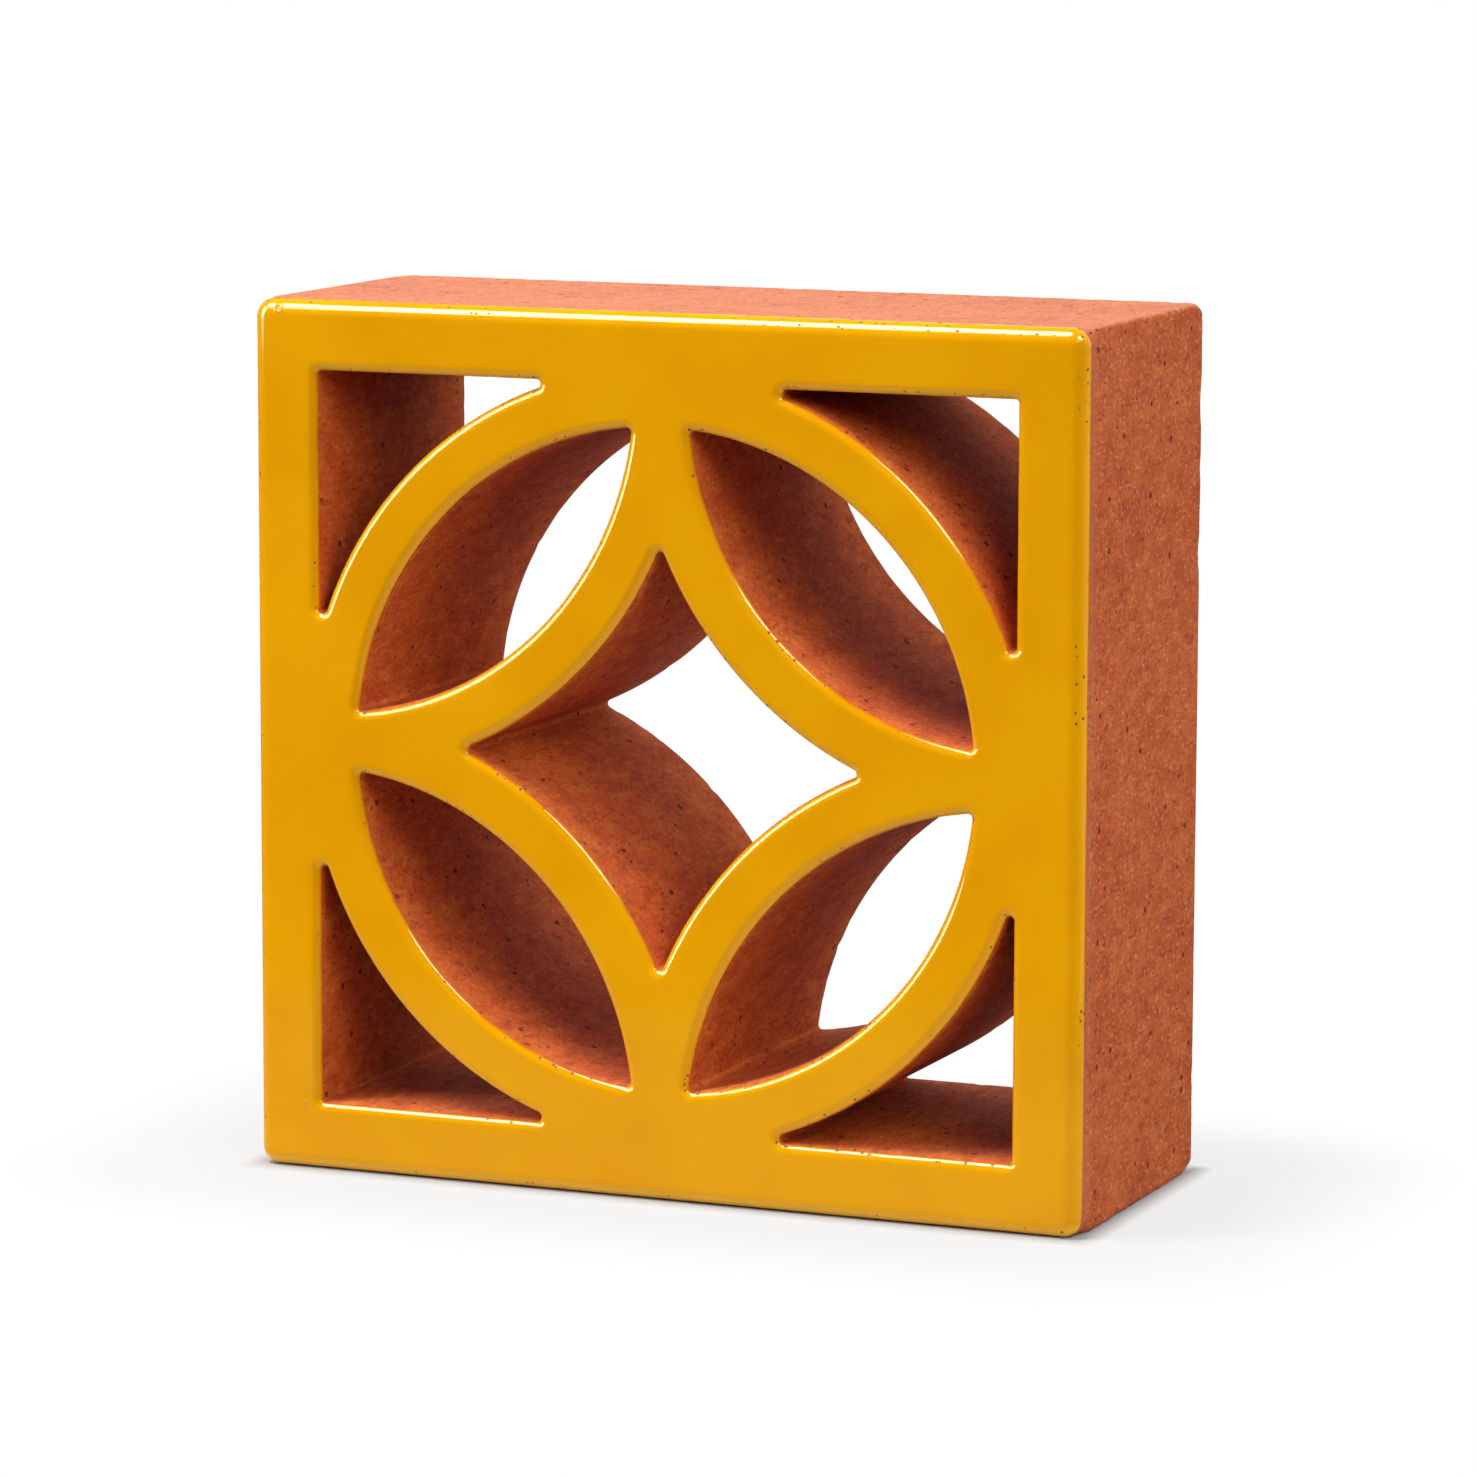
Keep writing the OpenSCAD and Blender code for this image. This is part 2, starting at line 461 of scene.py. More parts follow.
print("chipped points on the rear edges:", sum(v[worn_layer] > 0 for v in clay.verts))

# %% [markdown]
# ## The coat of glaze
# The glaze was poured or dipped on the face alone. It pulled back from the bottom edge and the
# corners before it set, so a line of clay shows there. The coat is drawn with its full reach, and
# where the real one ends sooner its skin dips under the clay. Two numbers stay on each point for
# the colour to follow: thin, where the skin dips, and edge, which is 0 on the face and grows
# towards the lip.

# %% How far the glaze crept round the edges
REACH = {"bottom": 2.3, "top": 3.9, "left": 3.2, "right": 3.9}
MOUTH_REACH = {"up": 1.5, "other": 1.95}    # the glaze drained off the edges that look up
BLEND = 2.5         # how softly the reach changes from side to side round a corner
WANDERS = ((0.2, 6.0, 41.0), (0.16, 2.2, 47.0))     # height, spacing and seed of its ripples


def creep(co, normal):
    """How deep the glaze reaches at this place on the edge, in millimetres."""
    if edge_distance(co) < 5.0:
        gaps = {"bottom": HALF + co.z, "top": HALF - co.z,
                "left": HALF + co.x, "right": HALF - co.x}
        weights = {side: math.exp(-gap / BLEND) for side, gap in gaps.items()}
        depth = sum(REACH[side] * weights[side] for side in gaps) / sum(weights.values())
    else:
        up = ease(0.15, 0.75, normal.z)
        depth = MOUTH_REACH["up"] * up + MOUTH_REACH["other"] * (1 - up)
    here = (co.x, 0, co.z)
    return depth + sum(height * ripple(here, spacing, seed) for height, spacing, seed in WANDERS)


# %% Sweep the coat and dip its lip
DIP = 0.42          # how far the skin sinks under the clay where the glaze has ended
PROUD = 0.08        # how far the coat stands off the walls of the openings

coat = pierced_shell(
    lambda start, air: coat_section(start, air, EDGE_R, 0.0, reach=4.8, steps=16),
    lambda start, air: coat_section(start, air, MOUTH_R, PROUD, reach=3.2, steps=14),
    border_pitch=1.0, opening_pitch=1.1)
coat.normal_update()
thin_layer = coat.verts.layers.float.new("thin")
edge_layer = coat.verts.layers.float.new("edge")
shifts = []
for v in coat.verts:
    outer_skin = v.normal.y < 0.2
    deep = v.co.y - FRONT
    limit = creep(v.co, v.normal)
    thin = ease(limit - 0.35, limit + 0.25, deep) if outer_skin else 1.0
    shifts.append(-v.normal * (DIP * thin if outer_skin else 0.0))
    v[thin_layer] = thin
    past_face, by_lip = ease(0.12, 0.6, deep), ease(limit - 1.2, limit - 0.2, deep)
    v[edge_layer] = 0.7 * past_face + 0.3 * by_lip
for v, shift in zip(coat.verts, shifts):
    v.co += shift
print("points of the coat that are hidden or dip under the clay:",
      sum(v[thin_layer] == 1 for v in coat.verts))

# %% [markdown]
# ## Making materials
# Colours are given as sRGB hex values, the way a screen shows them, and one function turns them to
# the linear values that light works with. One more small function adds a node with its settings and
# links. Pattern sizes are written in millimetres.
# Sockets are named by their place. A Map Range turns what lies between its sockets 1 and 2 into
# what lies between 3 and 4, so a mask starts at socket 1 and is full at socket 2. A Mix lays socket
# 7 over socket 6 for colours, and socket 3 over socket 2 for numbers.

# %% Helpers for materials
def linear(hexed):
    """An sRGB hex colour as linear RGBA."""
    values = [int(hexed[i:i + 2], 16) / 255 for i in (1, 3, 5)]
    return tuple(v / 12.92 if v <= 0.04045 else ((v + 0.055) / 1.055) ** 2.4
                 for v in values) + (1.0,)


def every(size):
    """Texture scale for features this many millimetres apart."""
    return 1 / (size * MM)


def add(tree, kind, inputs=None, **settings):
    """Adds a node, sets its settings, and links or sets its inputs."""
    made = tree.nodes.new(kind)
    for name, value in settings.items():
        setattr(made, name, value)
    for socket, value in (inputs or {}).items():
        if isinstance(value, bpy.types.NodeSocket):
            tree.links.new(value, made.inputs[socket])
        else:
            made.inputs[socket].default_value = value
    return made


def new_material(name):
    made = bpy.data.materials.new(name)
    made.use_nodes = True
    tree = made.node_tree
    tree.nodes.clear()
    return made, tree, add(tree, "ShaderNodeOutputMaterial")


# %% [markdown]
# ## Fired terracotta
# Terracotta is red earthenware, fired without glaze at about 1000 degrees. It is matt and porous:
# the eye sees a warm red brown with cloudy tones, a sandy grain, open pits painted darker for
# the shade inside them, and pale scratches that run up the sides, where the cut blocks rubbed.
# Crushed fired clay in the body, called grog, shows as pale specks, above all where the outside
# was rubbed. The die dragged the clay along the depth and drew its grain out that way. Chips show
# darker clay. A paler band lies on the outer faces beside the glaze. The faces that look up carry
# dust and a painted pale sheen, as grazing light gives them, and inside the openings the colour
# is painted warmer and brighter, for the light that bounces between the clay walls.
# Cell noise gives the pits, and soft noise the rest. The grain is drawn 0.9 mm wide, a little
# coarser than real sand, so that it shows. Each shade first gets a mask that says where it lies,
# and one table then lays the shades over each other, as washes of slip would be. A photograph of
# clay could be wrapped round the block instead, but noise that fills the clay has no seams.

# %% Terracotta, extruded and fired: where on the block a point lies
terracotta, tree, output = new_material("terracotta_extruded_and_fired")
place = add(tree, "ShaderNodeTexCoord").outputs["Object"]
drag = add(tree, "ShaderNodeVectorMath", {0: place, 1: (1.0, 0.4, 1.0)},
           operation="MULTIPLY").outputs[0]             # drawn out along the depth
upright = add(tree, "ShaderNodeVectorMath", {0: place, 1: (1.0, 1.0, 0.32)},
              operation="MULTIPLY").outputs[0]          # drawn out along the height
centred = add(tree, "ShaderNodeVectorMath", {0: place, 1: (0.0, 0.0, HALF * MM)},
              operation="SUBTRACT").outputs[0]
centred = add(tree, "ShaderNodeVectorMath", {0: centred}, operation="ABSOLUTE").outputs[0]
sides = add(tree, "ShaderNodeSeparateXYZ", {0: centred}).outputs
off_axis = add(tree, "ShaderNodeMath", {0: sides[0], 1: sides[2]}, operation="MAXIMUM").outputs[0]
side_face = add(tree, "ShaderNodeMapRange",
                {0: off_axis, 1: (HALF - 3) * MM, 2: (HALF - 1) * MM, 3: 0.0, 4: 1.0}).outputs[0]
depth = add(tree, "ShaderNodeSeparateXYZ", {0: place}).outputs[1]
rear_face = add(tree, "ShaderNodeMapRange",
                {0: depth, 1: (REAR - 1) * MM, 2: (REAR - 0.3) * MM, 3: 0.0, 4: 1.0}).outputs[0]
outer = add(tree, "ShaderNodeMath", {0: side_face, 1: rear_face}, operation="MAXIMUM").outputs[0]
inner = add(tree, "ShaderNodeMath", {0: 1.0, 1: outer}, operation="SUBTRACT").outputs[0]
normal = add(tree, "ShaderNodeNewGeometry").outputs["Normal"]
facing_up = add(tree, "ShaderNodeSeparateXYZ", {0: normal}).outputs[2]

# %% Soft noise: its size in millimetres, its finer detail and how rough that is
patterns = {}
for name, at, size, detail, rough in (
        ("clouds", place, 34, 3.0, 0.5),
        ("mottle", drag, 4, 4.0, 0.65),
        ("grain", drag, 0.9, 2.0, 0.7),
        ("crumbs", drag, 1.5, 1.0, 0.5),
        ("grog", drag, 0.8, 0.0, 0.5),
        ("scratch", upright, 0.5, 0.0, 0.5)):
    patterns[name] = add(tree, "ShaderNodeTexNoise", {
        "Vector": at, "Scale": every(size), "Detail": detail, "Roughness": rough}).outputs[0]
mottle, grain = patterns["mottle"], patterns["grain"]
print("soft noises:", ", ".join(patterns))

# %% Pits of two sizes, a little taller than wide
PIT_SQUEEZE = (1.0, 0.75, 0.9)
PIT_WANDER = 0.5 * MM       # how far a ragged rim strays
PIT_SIZES = ((1.5, 0.7, 0.26), (3.4, 0.66, 0.22))   # cell in mm, share left bare, radius in cells
PIT_RIM = 0.16              # width of the soft rim, in millimetres

ragged = add(tree, "ShaderNodeTexNoise",
             {"Vector": place, "Scale": every(0.9), "Detail": 1.0}).outputs["Color"]
ragged = add(tree, "ShaderNodeVectorMath", {0: ragged, 1: (PIT_WANDER,) * 3, 2: place},
             operation="MULTIPLY_ADD").outputs[0]
squeezed = add(tree, "ShaderNodeVectorMath", {0: ragged, 1: PIT_SQUEEZE},
               operation="MULTIPLY").outputs[0]
pits = 0.0
for cell, bare, widest in PIT_SIZES:
    pit = add(tree, "ShaderNodeTexVoronoi", {"Vector": squeezed, "Scale": every(cell)})
    chance = add(tree, "ShaderNodeSeparateColor", {0: pit.outputs["Color"]}).outputs[1]
    radius = add(tree, "ShaderNodeMapRange",
                 {0: chance, 1: bare, 2: bare + 0.25, 3: 0.0, 4: widest}).outputs[0]
    within = add(tree, "ShaderNodeMath", {0: radius, 1: pit.outputs["Distance"]},
                 operation="SUBTRACT").outputs[0]
    hollow = add(tree, "ShaderNodeMapRange", {0: within, 1: 0.0, 2: PIT_RIM / cell, 3: 0.0, 4: 1.0},
                 interpolation_type="SMOOTHSTEP").outputs[0]
    pits = add(tree, "ShaderNodeMath", {0: hollow, 1: pits}, operation="MAXIMUM").outputs[0]
    print("pits up to %.1f mm across, in cells of %.1f mm" % (2 * cell * widest, cell))

# %% Masks: a pattern, where it starts, where it is full, its strength, and where it is kept to
grog_shown = add(tree, "ShaderNodeMapRange", {0: outer, 1: 0.0, 2: 1.0, 3: 0.4, 4: 1.0}).outputs[0]
frayed = add(tree, "ShaderNodeMath", {0: mottle, 1: 12 * MM, 2: depth},
             operation="MULTIPLY_ADD").outputs[0]       # the depth, with a mottled edge
masks = {}
for name, pattern, start, full, strength, kept_to in (
        ("clouds", patterns["clouds"], 0.35, 0.65, 1.0, None),
        ("pale_mottle", mottle, 0.45, 0.7, 0.6, None),
        ("dark_mottle", mottle, 0.45, 0.25, 0.6, None),
        ("crumbs", patterns["crumbs"], 0.4, 0.28, 0.55, None),
        ("grog", patterns["grog"], 0.65, 0.76, 0.4, grog_shown),
        # a paler band on the outer faces, within about 16 mm of the front
        ("pale_band_beside_glaze", frayed, (FRONT + 16) * MM, (FRONT + 9) * MM, 0.3, outer),
        # dust, and a painted pale sheen of grazing light, on the outer faces that look up
        ("dust_and_painted_sheen", facing_up, 0.4, 1.0, 0.11, outer),
        ("scratch", patterns["scratch"], 0.73, 0.83, 0.6, outer)):
    masks[name] = add(tree, "ShaderNodeMapRange",
                      {0: pattern, 1: start, 2: full, 3: 0.0, 4: strength}).outputs[0]
    if kept_to is not None:
        masks[name] = add(tree, "ShaderNodeMath", {0: masks[name], 1: kept_to},
                          operation="MULTIPLY").outputs[0]
sand = add(tree, "ShaderNodeMapRange", {0: grain, 1: 0.3, 2: 0.7, 3: 0.78, 4: 1.2}).outputs[0]
chipped = add(tree, "ShaderNodeAttribute", attribute_name="worn").outputs["Fac"]
chipped = add(tree, "ShaderNodeMath", {0: chipped, 1: 0.65}, operation="MULTIPLY").outputs[0]
print("masks:", ", ".join(masks))

# %% Lay the shades over each other, from the clay's own red to the pits
# painted bounce light: inside the openings the colour is made warmer and brighter
PAINTED_BOUNCE = (1.18, 1.12, 0.85, 1.0)        # what the colour is multiplied by inside the openings

colour = linear("#A94718")
for blend, mask, shade in (
        ("MIX", masks["clouds"], linear("#B55522")),
        ("MIX", masks["pale_mottle"], linear("#C66C34")),
        ("MIX", masks["dark_mottle"], linear("#903710")),
        ("MULTIPLY", 1.0, sand),
        ("MIX", masks["crumbs"], linear("#7A2E10")),
        ("MIX", masks["grog"], linear("#D48E66")),
        ("MIX", chipped, linear("#7C2E12")),
        # painted bounce light inside the openings
        ("MULTIPLY", inner, PAINTED_BOUNCE),
        # paler band on the outer faces beside the glaze
        ("MIX", masks["pale_band_beside_glaze"], linear("#B9755C")),
        # dust and a painted pale sheen on the faces that look up
        ("MIX", masks["dust_and_painted_sheen"], linear("#C9B9A0")),
        ("MIX", masks["scratch"], linear("#D69670")),
        # the pits are painted darker than the clay, for the shade inside them
        ("MIX", pits, linear("#66240E"))):
    colour = add(tree, "ShaderNodeMix", {0: mask, 6: colour, 7: shade}, data_type="RGBA",
                 blend_type=blend).outputs[2]

# %% Relief in millimetres, and the matt shader
relief = 0.0
for pattern, height in ((grain, 0.10), (mottle, 0.2), (pits, -0.15)):
    relief = add(tree, "ShaderNodeMath", {0: pattern, 1: height, 2: relief},
                 operation="MULTIPLY_ADD").outputs[0]
bump = add(tree, "ShaderNodeBump", {"Height": relief, "Distance": MM, "Strength": 1.0}).outputs[0]
shader = add(tree, "ShaderNodeBsdfPrincipled", {
    "Base Color": colour, "Roughness": 0.85, "IOR": 1.5, "Specular IOR Level": 0.2, "Normal": bump})
tree.links.new(shader.outputs[0], output.inputs[0])
print("terracotta has", len(tree.nodes), "nodes")

# %% [markdown]
# ## Poured yellow glaze
# The glaze is coloured glass about a millimetre thick, melted on to the clay. The eye sees a deep
# mustard yellow under a sharp gloss, and reflections that waver because the melt settled unevenly.
# It turns amber where it runs thin. The edges that look down are painted paler, for the reflection
# and bounce light of the white floor below them. Steam from the clay broke through it along the
# edges and left brown pinholes, and a few craters on the face. The two numbers that the coat keeps
# on its points say where it is thin and where its edges are. The waves are only bump, because they
# are far too shallow to show as shape.

# %% Glaze, poured and fired glossy
glaze, tree, output = new_material("yellow_glaze_poured_and_fired")
place = add(tree, "ShaderNodeTexCoord").outputs["Object"]
thin = add(tree, "ShaderNodeAttribute", attribute_name="thin").outputs["Fac"]
edge = add(tree, "ShaderNodeAttribute", attribute_name="edge").outputs["Fac"]
normal = add(tree, "ShaderNodeNewGeometry").outputs["Normal"]
facing_up = add(tree, "ShaderNodeSeparateXYZ", {0: normal}).outputs[2]
patterns = {}
for name, size, detail in (
        ("pools", 30, 2.0), ("spread", 24, 1.0), ("swell", 20, 1.0), ("peel", 3.5, 1.0)):
    patterns[name] = add(tree, "ShaderNodeTexNoise", {
        "Vector": place, "Scale": every(size), "Detail": detail}).outputs[0]
print("soft noises:", ", ".join(patterns))

# %% Pinholes, close along the edges and in patches
PINHOLE_CELL, PINHOLE_RADIUS, PINHOLE_RIM = 1.4, 0.46, 0.1      # millimetres, cells and cells

hole = add(tree, "ShaderNodeTexVoronoi", {"Vector": place, "Scale": every(PINHOLE_CELL)})
chance = add(tree, "ShaderNodeSeparateColor", {0: hole.outputs["Color"]}).outputs[1]
radius = add(tree, "ShaderNodeMapRange",
             {0: chance, 1: 0.3, 2: 0.7, 3: 0.0, 4: PINHOLE_RADIUS}).outputs[0]
patchy = add(tree, "ShaderNodeMapRange",
             {0: patterns["spread"], 1: 0.42, 2: 0.58, 3: 0.3, 4: 1.0}).outputs[0]
for share in (edge, patchy):
    radius = add(tree, "ShaderNodeMath", {0: radius, 1: share}, operation="MULTIPLY").outputs[0]
within = add(tree, "ShaderNodeMath", {0: radius, 1: hole.outputs["Distance"]},
             operation="SUBTRACT").outputs[0]
holes = add(tree, "ShaderNodeMapRange",
            {0: within, 1: 0.0, 2: PINHOLE_RIM, 3: 0.0, 4: 1.0}).outputs[0]

# %% Four craters on the face: a bowl inside a raised ring
CRATERS = ((-93.4, 98.0, 0.8), (-88.0, -84.9, 0.35), (51.0, -85.2, 0.45), (67.5, -85.3, 0.35))
BOWL_FLOOR, RING_FOOT = 0.3, 1.5        # of the crater's radius

on_face = add(tree, "ShaderNodeVectorMath", {0: place, 1: (1.0, 0.0, 1.0)},
              operation="MULTIPLY").outputs[0]
bowls = rings = 0.0
for x, z, size in CRATERS:
    away = add(tree, "ShaderNodeVectorMath", {0: on_face, 1: (x * MM, 0.0, (z + HALF) * MM)},
               operation="DISTANCE").outputs["Value"]
    bowl, ring = (
        add(tree, "ShaderNodeMapRange", {0: away, 1: foot * MM, 2: top * MM, 3: 0.0, 4: 1.0},
            interpolation_type="SMOOTHSTEP").outputs[0]
        for foot, top in ((size, BOWL_FLOOR * size), (RING_FOOT * size, size)))
    bowls = add(tree, "ShaderNodeMath", {0: bowl, 1: bowls}, operation="MAXIMUM").outputs[0]
    rings = add(tree, "ShaderNodeMath", {0: ring, 1: rings}, operation="MAXIMUM").outputs[0]
print("craters:", len(CRATERS))

# %% Lay the glaze's shades over each other
pooled = add(tree, "ShaderNodeMapRange",
             {0: patterns["pools"], 1: 0.35, 2: 0.65, 3: 0.0, 4: 1.0}).outputs[0]
lip = add(tree, "ShaderNodeMapRange", {0: edge, 1: 0.72, 2: 0.97, 3: 0.0, 4: 0.8}).outputs[0]
amber = add(tree, "ShaderNodeMapRange", {0: thin, 1: 0.04, 2: 0.3, 3: 0.0, 4: 1.0},
            interpolation_type="SMOOTHSTEP").outputs[0]
amber = add(tree, "ShaderNodeMath", {0: amber, 1: lip}, operation="MAXIMUM").outputs[0]
# painted floor light: the edges that look down are painted paler, for the white floor's reflection
painted_floor_light = add(tree, "ShaderNodeMapRange",
               {0: facing_up, 1: -0.1, 2: -0.55, 3: 0.0, 4: 0.8}).outputs[0]
burst = add(tree, "ShaderNodeMath", {0: bowls, 1: 0.3}, operation="MULTIPLY").outputs[0]
burst = add(tree, "ShaderNodeMath", {0: burst, 1: holes}, operation="MAXIMUM").outputs[0]
colour = linear("#DF9800")
for mask, shade in (
        (pooled, "#E5A002"), (amber, "#C4700C"), (painted_floor_light, "#FFBE34"), (burst, "#8E3F08")):
    colour = add(tree, "ShaderNodeMix", {0: mask, 6: colour, 7: linear(shade)},
                 data_type="RGBA").outputs[2]

# %% Waves in the melt in millimetres, and the glossy shader
relief = 0.0
for pattern, height in ((patterns["swell"], 0.03), (patterns["peel"], 0.003),
                        (rings, 0.14), (bowls, -0.2), (holes, -0.04)):
    relief = add(tree, "ShaderNodeMath", {0: pattern, 1: height, 2: relief},
                 operation="MULTIPLY_ADD").outputs[0]
bump = add(tree, "ShaderNodeBump", {"Height": relief, "Distance": MM, "Strength": 1.0}).outputs[0]
thin_rough = add(tree, "ShaderNodeMapRange", {0: thin, 1: 0.1, 2: 0.4, 3: 0.05, 4: 0.25}).outputs[0]
hole_rough = add(tree, "ShaderNodeMath", {0: holes, 1: 0.7}, operation="MULTIPLY").outputs[0]
rough = add(tree, "ShaderNodeMath", {0: thin_rough, 1: hole_rough}, operation="MAXIMUM").outputs[0]
shader = add(tree, "ShaderNodeBsdfPrincipled", {
    "Base Color": colour, "Roughness": rough, "IOR": 1.44,
    "Specular Tint": (1.0, 0.94, 0.68, 1.0), "Normal": bump})       # its gloss looks a little warm
tree.links.new(shader.outputs[0], output.inputs[0])
print("glaze has", len(tree.nodes), "nodes")

# %% Put the two pieces in place of the measured block
clay_body = finished(clay, "fired_clay_body", terracotta)
glaze_coat = finished(coat, "glaze_coat", glaze)
for piece, slot in ((clay_body, "terracotta"), (glaze_coat, "yellow_glaze")):
    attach(piece, "root")
    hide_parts("block")
    print(piece.name, "stands for the measured block, in", slot)

# %% [markdown]
# ## The white sheets
# The block stands on a white sheet that ends a hand's width in front of it, with a card beside that
# end. The glaze mirrors this front edge, which is why its lowest part looks paler.
# The paper has to look pure white, as the photograph's does, and still keep the block's soft
# shadow. More light would bleach the glaze, so the paper glows by itself where the camera or a
# reflection sees it, and turns to matt paper close to the block, where the shadow lies. Its
# reflection fades with the distance, as the real sheet's does where the lamps no longer reach it.

# %% Paper that glows for the camera and in reflections
GLOW_NEAR, GLOW_FAR = 0.76, 0.24        # what glows from the block's foot on, and what far off adds

paper, tree, output = new_material("white_paper_lit_from_above")
place = add(tree, "ShaderNodeTexCoord").outputs["Object"]
outside = add(tree, "ShaderNodeVectorMath", {0: place}, operation="ABSOLUTE").outputs[0]
for amount, operation in (((HALF * MM, REAR * MM, 0.0), "SUBTRACT"), ((0.0, 0.0, 0.0), "MAXIMUM")):
    outside = add(tree, "ShaderNodeVectorMath", {0: outside, 1: amount},
                  operation=operation).outputs[0]
away = add(tree, "ShaderNodeVectorMath", {0: outside}, operation="LENGTH").outputs["Value"]
near = add(tree, "ShaderNodeMapRange",
           {0: away, 1: 0.0, 2: 0.005, 3: 0.0, 4: GLOW_NEAR}).outputs[0]
far = add(tree, "ShaderNodeMapRange", {0: away, 1: 0.012, 2: 0.07, 3: 0.0, 4: GLOW_FAR},
          interpolation_type="SMOOTHSTEP").outputs[0]
glow = add(tree, "ShaderNodeMath", {0: near, 1: far}, operation="ADD").outputs[0]
ray = add(tree, "ShaderNodeLightPath").outputs
mirrored = add(tree, "ShaderNodeMath", {0: ray["Is Glossy Ray"], 1: ray["Is Transmission Ray"]},
               operation="MAXIMUM").outputs[0]
dim = add(tree, "ShaderNodeMapRange", {0: away, 1: 0.12, 2: 0.28, 3: 0.36, 4: 0.08},
          interpolation_type="SMOOTHSTEP").outputs[0]
bright = add(tree, "ShaderNodeMix", {0: mirrored, 2: 1.0, 3: dim}).outputs[0]
seen = add(tree, "ShaderNodeMath", {0: ray["Is Camera Ray"], 1: mirrored},
           operation="MAXIMUM").outputs[0]
glow = add(tree, "ShaderNodeMath", {0: glow, 1: seen}, operation="MULTIPLY").outputs[0]
matt = add(tree, "ShaderNodeBsdfDiffuse", {"Color": linear("#AEAEAE")}).outputs[0]
white = add(tree, "ShaderNodeEmission", {"Color": (1, 1, 1, 1), "Strength": bright}).outputs[0]
both = add(tree, "ShaderNodeMixShader", {0: glow, 1: matt, 2: white}).outputs[0]
tree.links.new(both, output.inputs[0])
print("paper has", len(tree.nodes), "nodes")


# %% The sheet and the card
def white_sheet(name, width, depth, spin, front_left, height):
    """A flat rectangle of paper on the table, placed by the left end of its front edge."""
    bm = bmesh.new()
    bmesh.ops.create_grid(bm, x_segments=1, y_segments=1, size=0.5)
    bmesh.ops.translate(bm, verts=bm.verts, vec=(0.5, 0.5, 0))
    bmesh.ops.scale(bm, verts=bm.verts, vec=(width, depth, 1))
    bmesh.ops.rotate(bm, verts=bm.verts, cent=(0, 0, 0),
                     matrix=Matrix.Rotation(math.radians(spin), 3, "Z"))
    bmesh.ops.translate(bm, verts=bm.verts, vec=(*front_left, height))
    mesh = bpy.data.meshes.new(name)
    bm.to_mesh(mesh)
    bm.free()
    in_scene(mesh, name, paper)
    print(name, "is staged")


white_sheet("white_sheet", 12.0, 10.0, 0, (-6.0, -0.252), 0)
white_sheet("white_card", 0.36, 0.12, 23.1, (-0.028, -0.316), 0.0003)

# %% [markdown]
# ## The room and the lamps
# The room is bright behind the block and dark in front of it, so that the glaze's face stays deep
# in colour. The camera sees it plain white, and the gloss sees a pale wall behind it on the right.
# A soft lamp hangs overhead and a little in front, and draws the bright line along every upper edge
# of the glaze. A tall lamp stands far to the left, a weaker one hangs at the upper right, and a
# large one in front on the right lights the side. Wider strips that only the gloss sees make the
# highlights as wide as the real ones, without more light on the clay. The front lamp is kept out of
# the gloss, where it would leave a bright spot.

# %% The room round it
DARK = 0.06         # what the dark side of the room still gives

world = bpy.data.worlds.new("studio_room")
bpy.context.scene.world = world
world.use_nodes = True
tree = world.node_tree
tree.nodes.clear()
towards = add(tree, "ShaderNodeTexCoord").outputs["Generated"]      # the direction, in a world
towards = add(tree, "ShaderNodeSeparateXYZ", {0: towards}).outputs
above = add(tree, "ShaderNodeMapRange",
            {0: towards[2], 1: -0.02, 2: 0.04, 3: 0.0, 4: 1.0}).outputs[0]
behind = add(tree, "ShaderNodeMapRange", {0: towards[1], 1: -0.1, 2: 0.3, 3: DARK, 4: 1.25},
             interpolation_type="SMOOTHSTEP").outputs[0]
soft = add(tree, "ShaderNodeMath", {0: behind, 1: above}, operation="MULTIPLY").outputs[0]
aside = add(tree, "ShaderNodeMath", {0: towards[0], 1: 0.6, 2: towards[1]},
            operation="MULTIPLY_ADD").outputs[0]
wall = add(tree, "ShaderNodeMapRange", {0: aside, 1: 0.45, 2: 0.75, 3: DARK, 4: 1.0},
           interpolation_type="SMOOTHSTEP").outputs[0]
ray = add(tree, "ShaderNodeLightPath").outputs
mirrored = add(tree, "ShaderNodeMath", {0: ray["Is Glossy Ray"], 1: ray["Is Transmission Ray"]},
               operation="MAXIMUM").outputs[0]
light = add(tree, "ShaderNodeMix", {0: mirrored, 2: soft, 3: wall}).outputs[0]
light = add(tree, "ShaderNodeMix", {0: ray["Is Camera Ray"], 2: light, 3: 1.0}).outputs[0]
room = add(tree, "ShaderNodeBackground", {"Color": (1, 1, 1, 1), "Strength": light}).outputs[0]
tree.links.new(room, add(tree, "ShaderNodeOutputWorld").inputs[0])
print("room has", len(tree.nodes), "nodes")


# %% Lamps: place, aim, width, height, brightness, and what sees them
def softbox(name, at, towards, width, height, radiance, seen_by):
    """A flat lamp of a given brightness per area, turned towards a point."""
    lamp = bpy.data.lights.new(name, "AREA")
    lamp.shape, lamp.size, lamp.size_y = "RECTANGLE", width, height
    lamp.energy = radiance * math.pi * width * height
    made = bpy.data.objects.new(name, lamp)
    made.location = at
    made.rotation_euler = (Vector(at) - Vector(towards)).to_track_quat("Z", "Y").to_euler()
    made.visible_diffuse = seen_by != "gloss"
    made.visible_glossy = seen_by != "matt"
    bpy.context.scene.collection.objects.link(made)


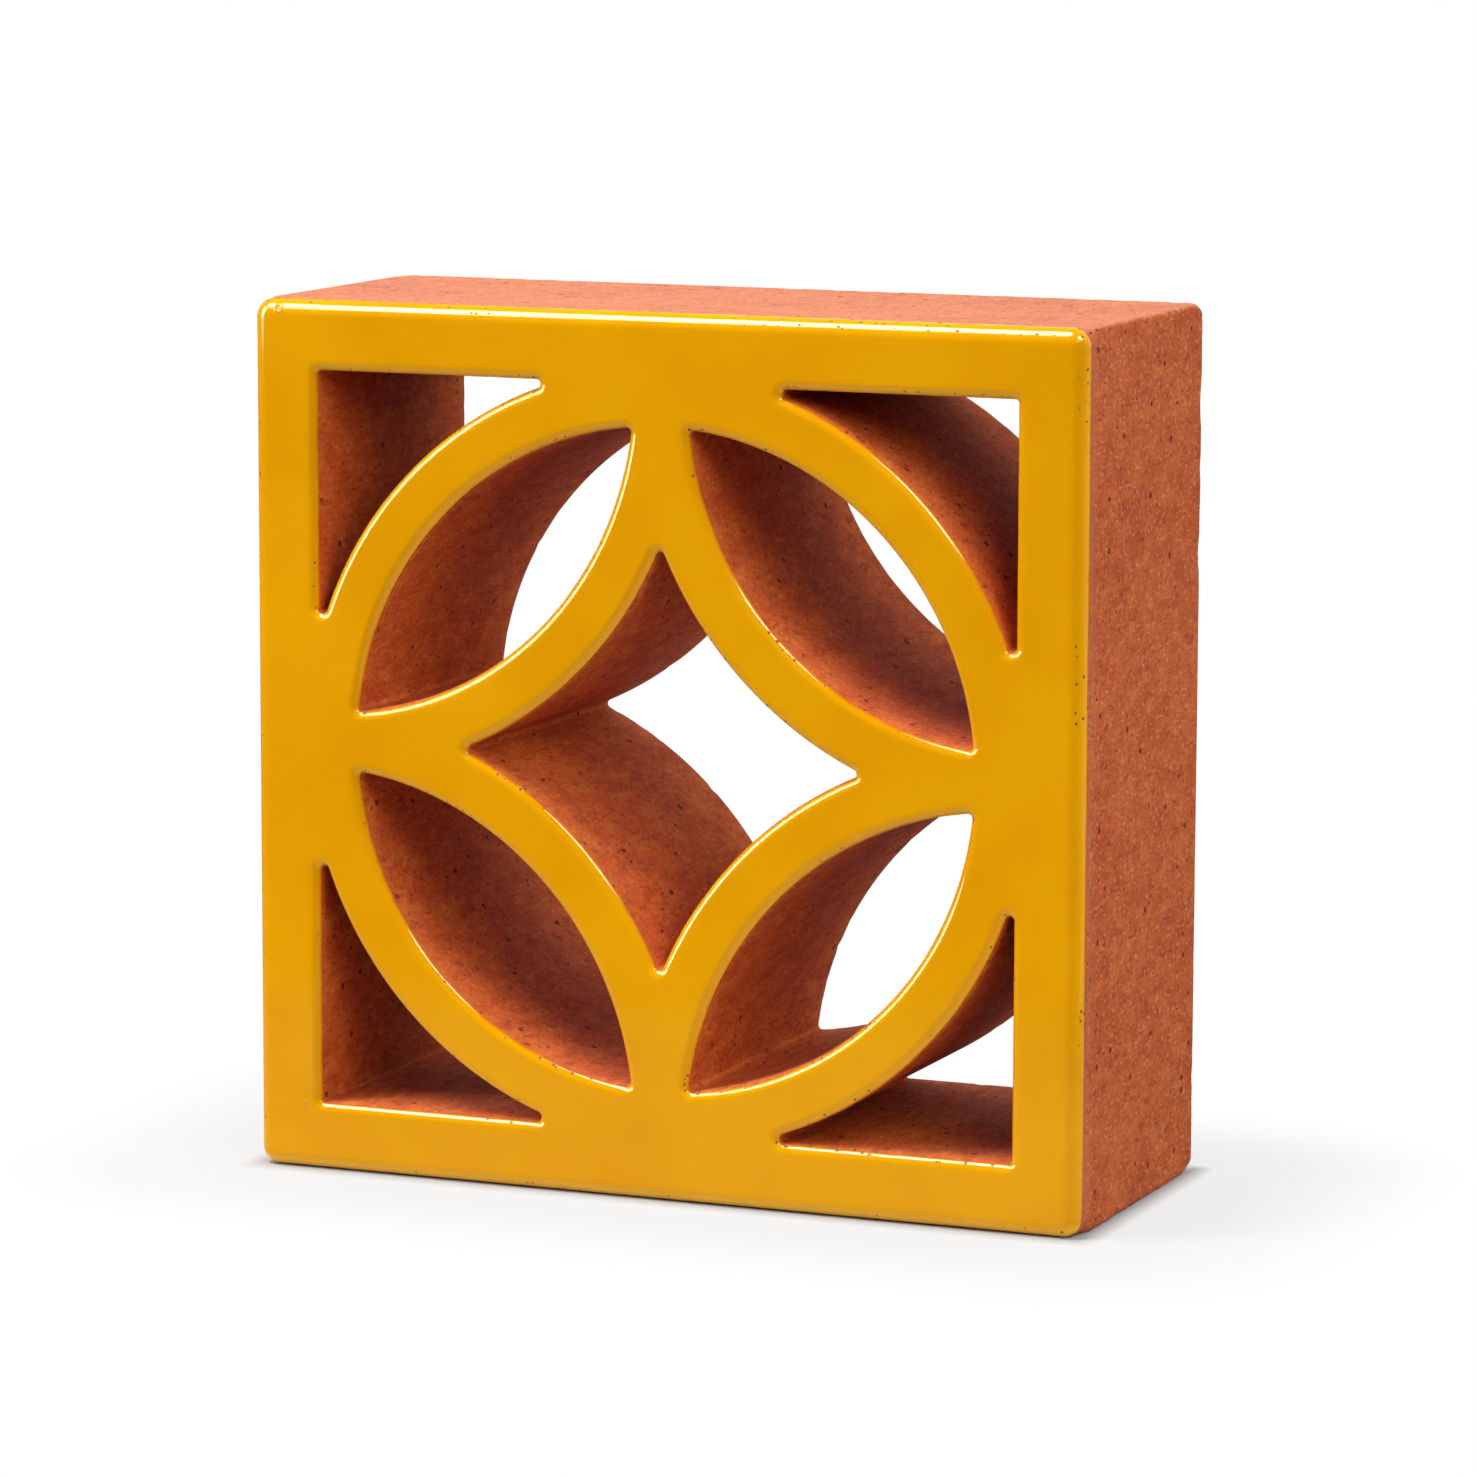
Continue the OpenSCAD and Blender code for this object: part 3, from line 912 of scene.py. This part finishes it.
LAMPS = (
    ("softbox_overhead", (-0.47, -0.35, 1.25), (0, -0.05, 0.1), 0.36, 0.62, 20.0, "all"),
    ("softbox_left", (-1.05, -0.62, 0.55), (0, 0, 0.12), 0.40, 1.0, 8.0, "all"),
    ("strip_left", (-1.15, -0.68, 0.60), (0, 0, 0.12), 0.70, 1.1, 12.0, "gloss"),
    ("strip_overhead", (-0.49, -0.37, 1.32), (0, -0.05, 0.1), 0.70, 1.1, 14.0, "gloss"),
    ("strip_right", (0.86, -0.39, 1.24), (0, 0, 0.1), 0.6, 0.6, 14.0, "gloss"),
    ("softbox_upper_right", (0.80, -0.36, 1.15), (0, 0, 0.1), 0.4, 0.4, 5.0, "all"),
    ("card_right", (0.34, 0.11, 0.10), (0.0, 0.06, 0.10), 0.24, 0.2, 0.5, "gloss"),
    ("softbox_front", (0.93, -0.78, 0.82), (0, 0, 0.1), 0.8, 0.8, 5.6, "matt"))
for lamp in LAMPS:
    softbox(*lamp)
print("lamps:", len(LAMPS))

# %% [markdown]
# ## The camera
# The photograph was taken with a long lens from the right and a little above, so the upright lines
# stay nearly parallel. The lens and place come from fitting the block's corners.

# %% Camera
FOCAL_PX, PHOTO_PX, SENSOR = 6351.51, 1476, 36.0        # the lens, measured in the photo's pixels
YAW, PITCH, ROLL = (math.radians(angle) for angle in (22.53, 8.55, 0.18))
CAMERA_AT = Vector((0.55186, -1.32354, 0.31557))

lens = bpy.data.cameras.new("camera")
lens.sensor_width = SENSOR
lens.lens = FOCAL_PX * SENSOR / PHOTO_PX
lens.clip_start, lens.clip_end = 0.05, 50.0
camera = bpy.data.objects.new("camera", lens)
bpy.context.scene.collection.objects.link(camera)
back = Vector((math.sin(YAW) * math.cos(PITCH), -math.cos(YAW) * math.cos(PITCH), math.sin(PITCH)))
level = Vector((math.cos(YAW), math.sin(YAW), 0))
upward = back.cross(level)
pose = Matrix((level * math.cos(ROLL) + upward * math.sin(ROLL),
               upward * math.cos(ROLL) - level * math.sin(ROLL), back)).transposed().to_4x4()
pose.translation = CAMERA_AT
camera.matrix_world = pose
bpy.context.scene.camera = camera
bpy.context.scene.view_settings.view_transform = "Standard"
print("camera %.2f m from the block, lens %.0f mm"
      % ((CAMERA_AT - (low + high) / 2).length, lens.lens))
